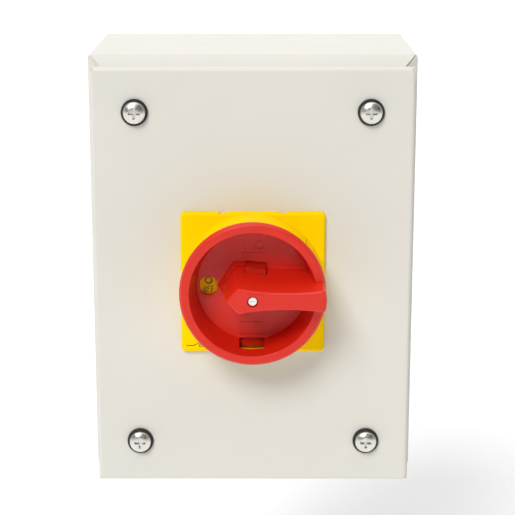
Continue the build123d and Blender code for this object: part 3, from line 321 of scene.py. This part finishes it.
NODE_MATERIALS = {
    "coat": ("enclosure_body", "lid", "lid_screw_tabs"),
    "red": ("handle",),
    # The lock slide takes the darker red, which is painted shade.
    "slide_red_painted_shade": ("lock_slide",),
    "yellow": ("handle_bezel",),
    "nickel": ("lid_screws", "switch_mounting_screws", "through_bolts", "terminal_screws"),
    "zinc": (
        "lid_weld_nuts", "mounting_studs", "mounting_plate_nuts", "earth_stud", "terminal_clamps",
        "earth_bar_screws", "neutral_bar_screws", "coupling_grub_screw", "retaining_ring",
    ),
    "steel": ("extension_shaft", "rotor_spindle", "shaft_coupling", "detent_rollers"),
    "spring": (
        "detent_springs", "contact_springs_left", "contact_springs_right", "lock_slide_spring",
    ),
    "galvanised": ("mounting_plate",),
    "brass": ("earth_stud_nuts", "earth_bar", "neutral_bar"),
    "copper": ("fixed_contacts", "contact_bridges_left", "contact_bridges_right"),
    "rubber": ("lid_screw_seals", "bezel_gasket", "handle_seal", "entry_seals"),
    "foam": ("lid_gasket",),
    "grey": (
        "switch_base", "contact_chamber_1", "contact_chamber_2", "neutral_insulator", "bezel_nut",
    ),
    "black": ("latching_housing", "latching_cover", "drive_sleeve", "lid_screw_retainers"),
    "plug": ("entry_plug_left", "entry_plug_right", "entry_locknuts"),
    "cream": ("plungers_left", "plungers_right", "cam_1", "cam_2", "detent_star"),
    "white": ("handle_screw",),
}


def dress_nodes(materials):
    """Give every CAD node its finished material."""
    for key, names in NODE_MATERIALS.items():
        for name in names:
            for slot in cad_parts[name].material_slots:
                slot.material = materials[key]


# ---------------------------------------------------------------- printed marks
PLATE_RISE = 3.0 * MM
INK_T = 0.03 * MM
AXIS_X = (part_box("handle_screw")[0].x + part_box("handle_screw")[1].x) / 2
AXIS_Z = (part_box("handle_screw")[0].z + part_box("handle_screw")[1].z) / 2
LID_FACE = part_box("lid")[0].y
PRINT_FACE = LID_FACE - PLATE_RISE - INK_T

# Block capitals, as fractions of the letter's height, and of the stroke for the trim.
LETTER_WIDTH = 0.48
LETTER_PITCH = 0.62
LETTER_STROKE = 0.12
LETTER_TRIM = 0.2
SHORT_ARM = 0.8

# Position marks: how far they are from the handle's axis, then each mark from there.
MARK_REACH = 20.4 * MM
OFF_RING_RISE = 1.55 * MM
OFF_RING_R = 1.8 * MM
OFF_RING_STROKE = 0.6 * MM
OFF_WORD_SHIFT = 0.15 * MM
OFF_WORD_DROP = 2.7 * MM
OFF_WORD_HEIGHT = 2.7 * MM
ON_LINE_LOW = 0.7 * MM
ON_LINE_HIGH = 3.9 * MM
ON_LINE_STROKE = 0.7 * MM
ON_WORD_DROP = 1.9 * MM
ON_WORD_HEIGHT = 2.8 * MM

# Isolator symbol: its start from the plate's lower left corner, then along its line from there.
SYMBOL_INSET = 2.26 * MM
SYMBOL_RISE = 3.16 * MM
SYMBOL_STROKE = 0.35 * MM
SYMBOL_LINE_END = 3.3 * MM
BLADE_START = 3.2 * MM
BLADE_END = 5.8 * MM
BLADE_RISE = 1.25 * MM
CONTACT_REACH = 6.7 * MM
CONTACT_R = 0.85 * MM
CONTACT_STROKE = 0.32 * MM
CONTACT_SEGMENTS = 28


def prism(mesh, outline):
    """Add a closed outline of (x, z) points to a mesh as a thin print that faces -Y."""
    low = [mesh.verts.new((x, PRINT_FACE + INK_T, z)) for x, z in outline]
    high = [mesh.verts.new((x, PRINT_FACE, z)) for x, z in outline]
    mesh.faces.new(low)
    mesh.faces.new(list(reversed(high)))
    count = len(outline)
    for index in range(count):
        after = (index + 1) % count
        mesh.faces.new((low[index], high[index], high[after], low[after]))


def ring(mesh, centre, half_width, half_height, stroke, segments=48):
    """Add an oval ring to a mesh as a thin print that faces -Y."""
    loops = []
    for inset, depth in ((0.0, INK_T), (0.0, 0.0), (stroke, 0.0), (stroke, INK_T)):
        loop = []
        for index in range(segments):
            angle = 2 * math.pi * index / segments
            x = centre[0] + (half_width - inset) * math.cos(angle)
            z = centre[1] + (half_height - inset) * math.sin(angle)
            loop.append(mesh.verts.new((x, PRINT_FACE + depth, z)))
        loops.append(loop)
    for number, loop in enumerate(loops):
        following = loops[(number + 1) % len(loops)]
        for index in range(segments):
            after = (index + 1) % segments
            mesh.faces.new((loop[index], loop[after], following[after], following[index]))


def line(mesh, start, end, width):
    """Add a straight stroke between two (x, z) points to a mesh."""
    run = Vector((end[0] - start[0], end[1] - start[1])).normalized() * width / 2
    side = Vector((-run.y, run.x))
    a = Vector(start)
    b = Vector(end)
    prism(mesh, [tuple(a + side), tuple(a - side), tuple(b - side), tuple(b + side)])


def letter_strokes(letter, x, z, width, height):
    """Centre lines of a capital F or N in a box, as pairs of points."""
    left, right = x - width / 2, x + width / 2
    low, high = z - height / 2, z + height / 2
    arm = right * SHORT_ARM + left * (1 - SHORT_ARM)
    lines = {
        "F": [
            ((left, low), (left, high)),
            ((left, high), (right, high)),
            ((left, z), (arm, z)),
        ],
        "N": [
            ((left, low), (left, high)),
            ((right, low), (right, high)),
            ((left, high), (right, low)),
        ],
    }
    return lines[letter]


def word(mesh, letters, centre, height):
    """Add a short word of block capitals to a mesh."""
    width = LETTER_WIDTH * height
    pitch = LETTER_PITCH * height
    stroke = LETTER_STROKE * height
    first = centre[0] - pitch * (len(letters) - 1) / 2
    for place, letter in enumerate(letters):
        x = first + place * pitch
        if letter == "O":
            ring(mesh, (x, centre[1]), width / 2, height / 2, stroke)
            continue
        inner_height = height - stroke * LETTER_TRIM
        for start, end in letter_strokes(letter, x, centre[1], width - stroke, inner_height):
            line(mesh, start, end, stroke)


def finish_print(name, mesh, material, body):
    """Turn a mesh under construction into a printed piece that rides on a body."""
    bmesh.ops.recalc_face_normals(mesh, faces=mesh.faces)
    data = bpy.data.meshes.new(name)
    mesh.to_mesh(data)
    mesh.free()
    piece = bpy.data.objects.new(name, data)
    bpy.context.scene.collection.objects.link(piece)
    data.materials.append(material)
    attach(piece, body)


def position_marks(ink_material):
    """The OFF mark at nine o'clock and the ON mark at twelve, for the handle's window to show."""
    off_x = AXIS_X - MARK_REACH
    mesh = bmesh.new()
    ring(mesh, (off_x, AXIS_Z + OFF_RING_RISE), OFF_RING_R, OFF_RING_R, OFF_RING_STROKE)
    word(mesh, "OFF", (off_x + OFF_WORD_SHIFT, AXIS_Z - OFF_WORD_DROP), OFF_WORD_HEIGHT)
    finish_print("off_mark", mesh, ink_material, "lid")

    on_z = AXIS_Z + MARK_REACH
    mesh = bmesh.new()
    line(mesh, (AXIS_X, on_z + ON_LINE_LOW), (AXIS_X, on_z + ON_LINE_HIGH), ON_LINE_STROKE)
    word(mesh, "ON", (AXIS_X, on_z - ON_WORD_DROP), ON_WORD_HEIGHT)
    finish_print("on_mark", mesh, ink_material, "lid")


def isolator_symbol(ink_material):
    """Switch symbol in the lower left corner of the plate: line, open blade and contact ring."""
    low_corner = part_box("handle_bezel")[0]
    x = low_corner.x + SYMBOL_INSET
    z = low_corner.z + SYMBOL_RISE
    mesh = bmesh.new()
    line(mesh, (x, z), (x + SYMBOL_LINE_END, z), SYMBOL_STROKE)
    line(mesh, (x + BLADE_START, z), (x + BLADE_END, z + BLADE_RISE), SYMBOL_STROKE)
    ring(mesh, (x + CONTACT_REACH, z), CONTACT_R, CONTACT_R, CONTACT_STROKE, CONTACT_SEGMENTS)
    finish_print("isolator_symbol", mesh, ink_material, "lid")


def squash_lock_spring():
    """Give the lock slide's spring its own copy of its mesh."""
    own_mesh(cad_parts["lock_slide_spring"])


# ---------------------------------------------------------------- stage, light and camera
FLOOR_DROP = 0.14
FLOOR_SIZE = 14.0
FLOOR_PATCH = 0.6
FLOOR_DARK = (0.90, 0.90, 0.90)
FLOOR_LIGHT = (0.92, 0.92, 0.92)

# The surround's strength rises from the front to the back, between two values of the direction's Y.
FRONT_GLOW = 0.10
BACK_GLOW = 1.1
GLOW_START = -0.3
GLOW_END = 0.5

# Suns: the direction they shine along, their strength and their spread in degrees.
KEY_DIRECTION = (0.30, 0.70, -0.64)
KEY_STRENGTH = 1.95
KEY_SPREAD = 22
OVERHEAD_DIRECTION = (0.05, 0.15, -0.98)
OVERHEAD_STRENGTH = 1.0
OVERHEAD_SPREAD = 60

# Camera: place in metres, pitch below level in degrees, lens and sensor in millimetres.
CAMERA_PLACE = (2.14 * MM, -805.9 * MM, 188.7 * MM)
CAMERA_PITCH = 14.18
CAMERA_LENS = 110.1
CAMERA_SENSOR = 36.0
CLIP_NEAR = 0.01
CLIP_FAR = 50.0


def stage_floor():
    """Plain pale floor well below the object."""
    recipe = Recipe("pale_floor", roughness=0.9)
    patches = recipe.noise(FLOOR_PATCH, detail=2)
    recipe.paint(recipe.colours(patches, FLOOR_DARK, FLOOR_LIGHT))
    height = CAD_BOX[0].z - FLOOR_DROP
    bpy.ops.mesh.primitive_plane_add(size=FLOOR_SIZE, location=(0, 0, height))
    floor = bpy.context.object
    floor.name = "floor"
    floor.data.materials.append(recipe.material)


def surround():
    """Even pale surround, brighter behind the object like a white backdrop."""
    world = bpy.data.worlds.new("studio")
    world.use_nodes = True
    tree = world.node_tree
    background = tree.nodes["Background"]
    background.inputs["Color"].default_value = (1.0, 1.0, 1.0, 1.0)
    direction = tree.nodes.new("ShaderNodeTexCoord")
    split = tree.nodes.new("ShaderNodeSeparateXYZ")
    level = tree.nodes.new("ShaderNodeMapRange")
    level.inputs["From Min"].default_value = GLOW_START
    level.inputs["From Max"].default_value = GLOW_END
    level.inputs["To Min"].default_value = FRONT_GLOW
    level.inputs["To Max"].default_value = BACK_GLOW
    tree.links.new(direction.outputs["Generated"], split.inputs["Vector"])
    tree.links.new(split.outputs["Y"], level.inputs["Value"])
    tree.links.new(level.outputs["Result"], background.inputs["Strength"])
    bpy.context.scene.world = world


def sun(name, direction, strength, spread):
    """A distant soft light that shines along a direction."""
    data = bpy.data.lights.new(name, "SUN")
    data.energy = strength
    data.angle = math.radians(spread)
    lamp = bpy.data.objects.new(name, data)
    lamp.rotation_mode = "QUATERNION"
    lamp.rotation_quaternion = Vector(direction).to_track_quat("-Z", "Y")
    bpy.context.scene.collection.objects.link(lamp)


def lights():
    """Soft key light from the upper left in front, and a softer overhead light."""
    sun("key", KEY_DIRECTION, KEY_STRENGTH, KEY_SPREAD)
    sun("overhead", OVERHEAD_DIRECTION, OVERHEAD_STRENGTH, OVERHEAD_SPREAD)


def camera():
    """Camera in front of the lid, a little above it and looking down."""
    data = bpy.data.cameras.new("camera")
    data.lens = CAMERA_LENS
    data.sensor_width = CAMERA_SENSOR
    data.clip_start = CLIP_NEAR
    data.clip_end = CLIP_FAR
    eye = bpy.data.objects.new("camera", data)
    eye.location = CAMERA_PLACE
    eye.rotation_euler = (math.radians(90.0 - CAMERA_PITCH), 0.0, 0.0)
    bpy.context.scene.collection.objects.link(eye)
    bpy.context.scene.camera = eye


materials = make_materials()
dress_nodes(materials)
position_marks(materials["ink"])
isolator_symbol(materials["ink"])
squash_lock_spring()
stage_floor()
surround()
lights()
camera()
bpy.context.scene.view_settings.view_transform = "Standard"
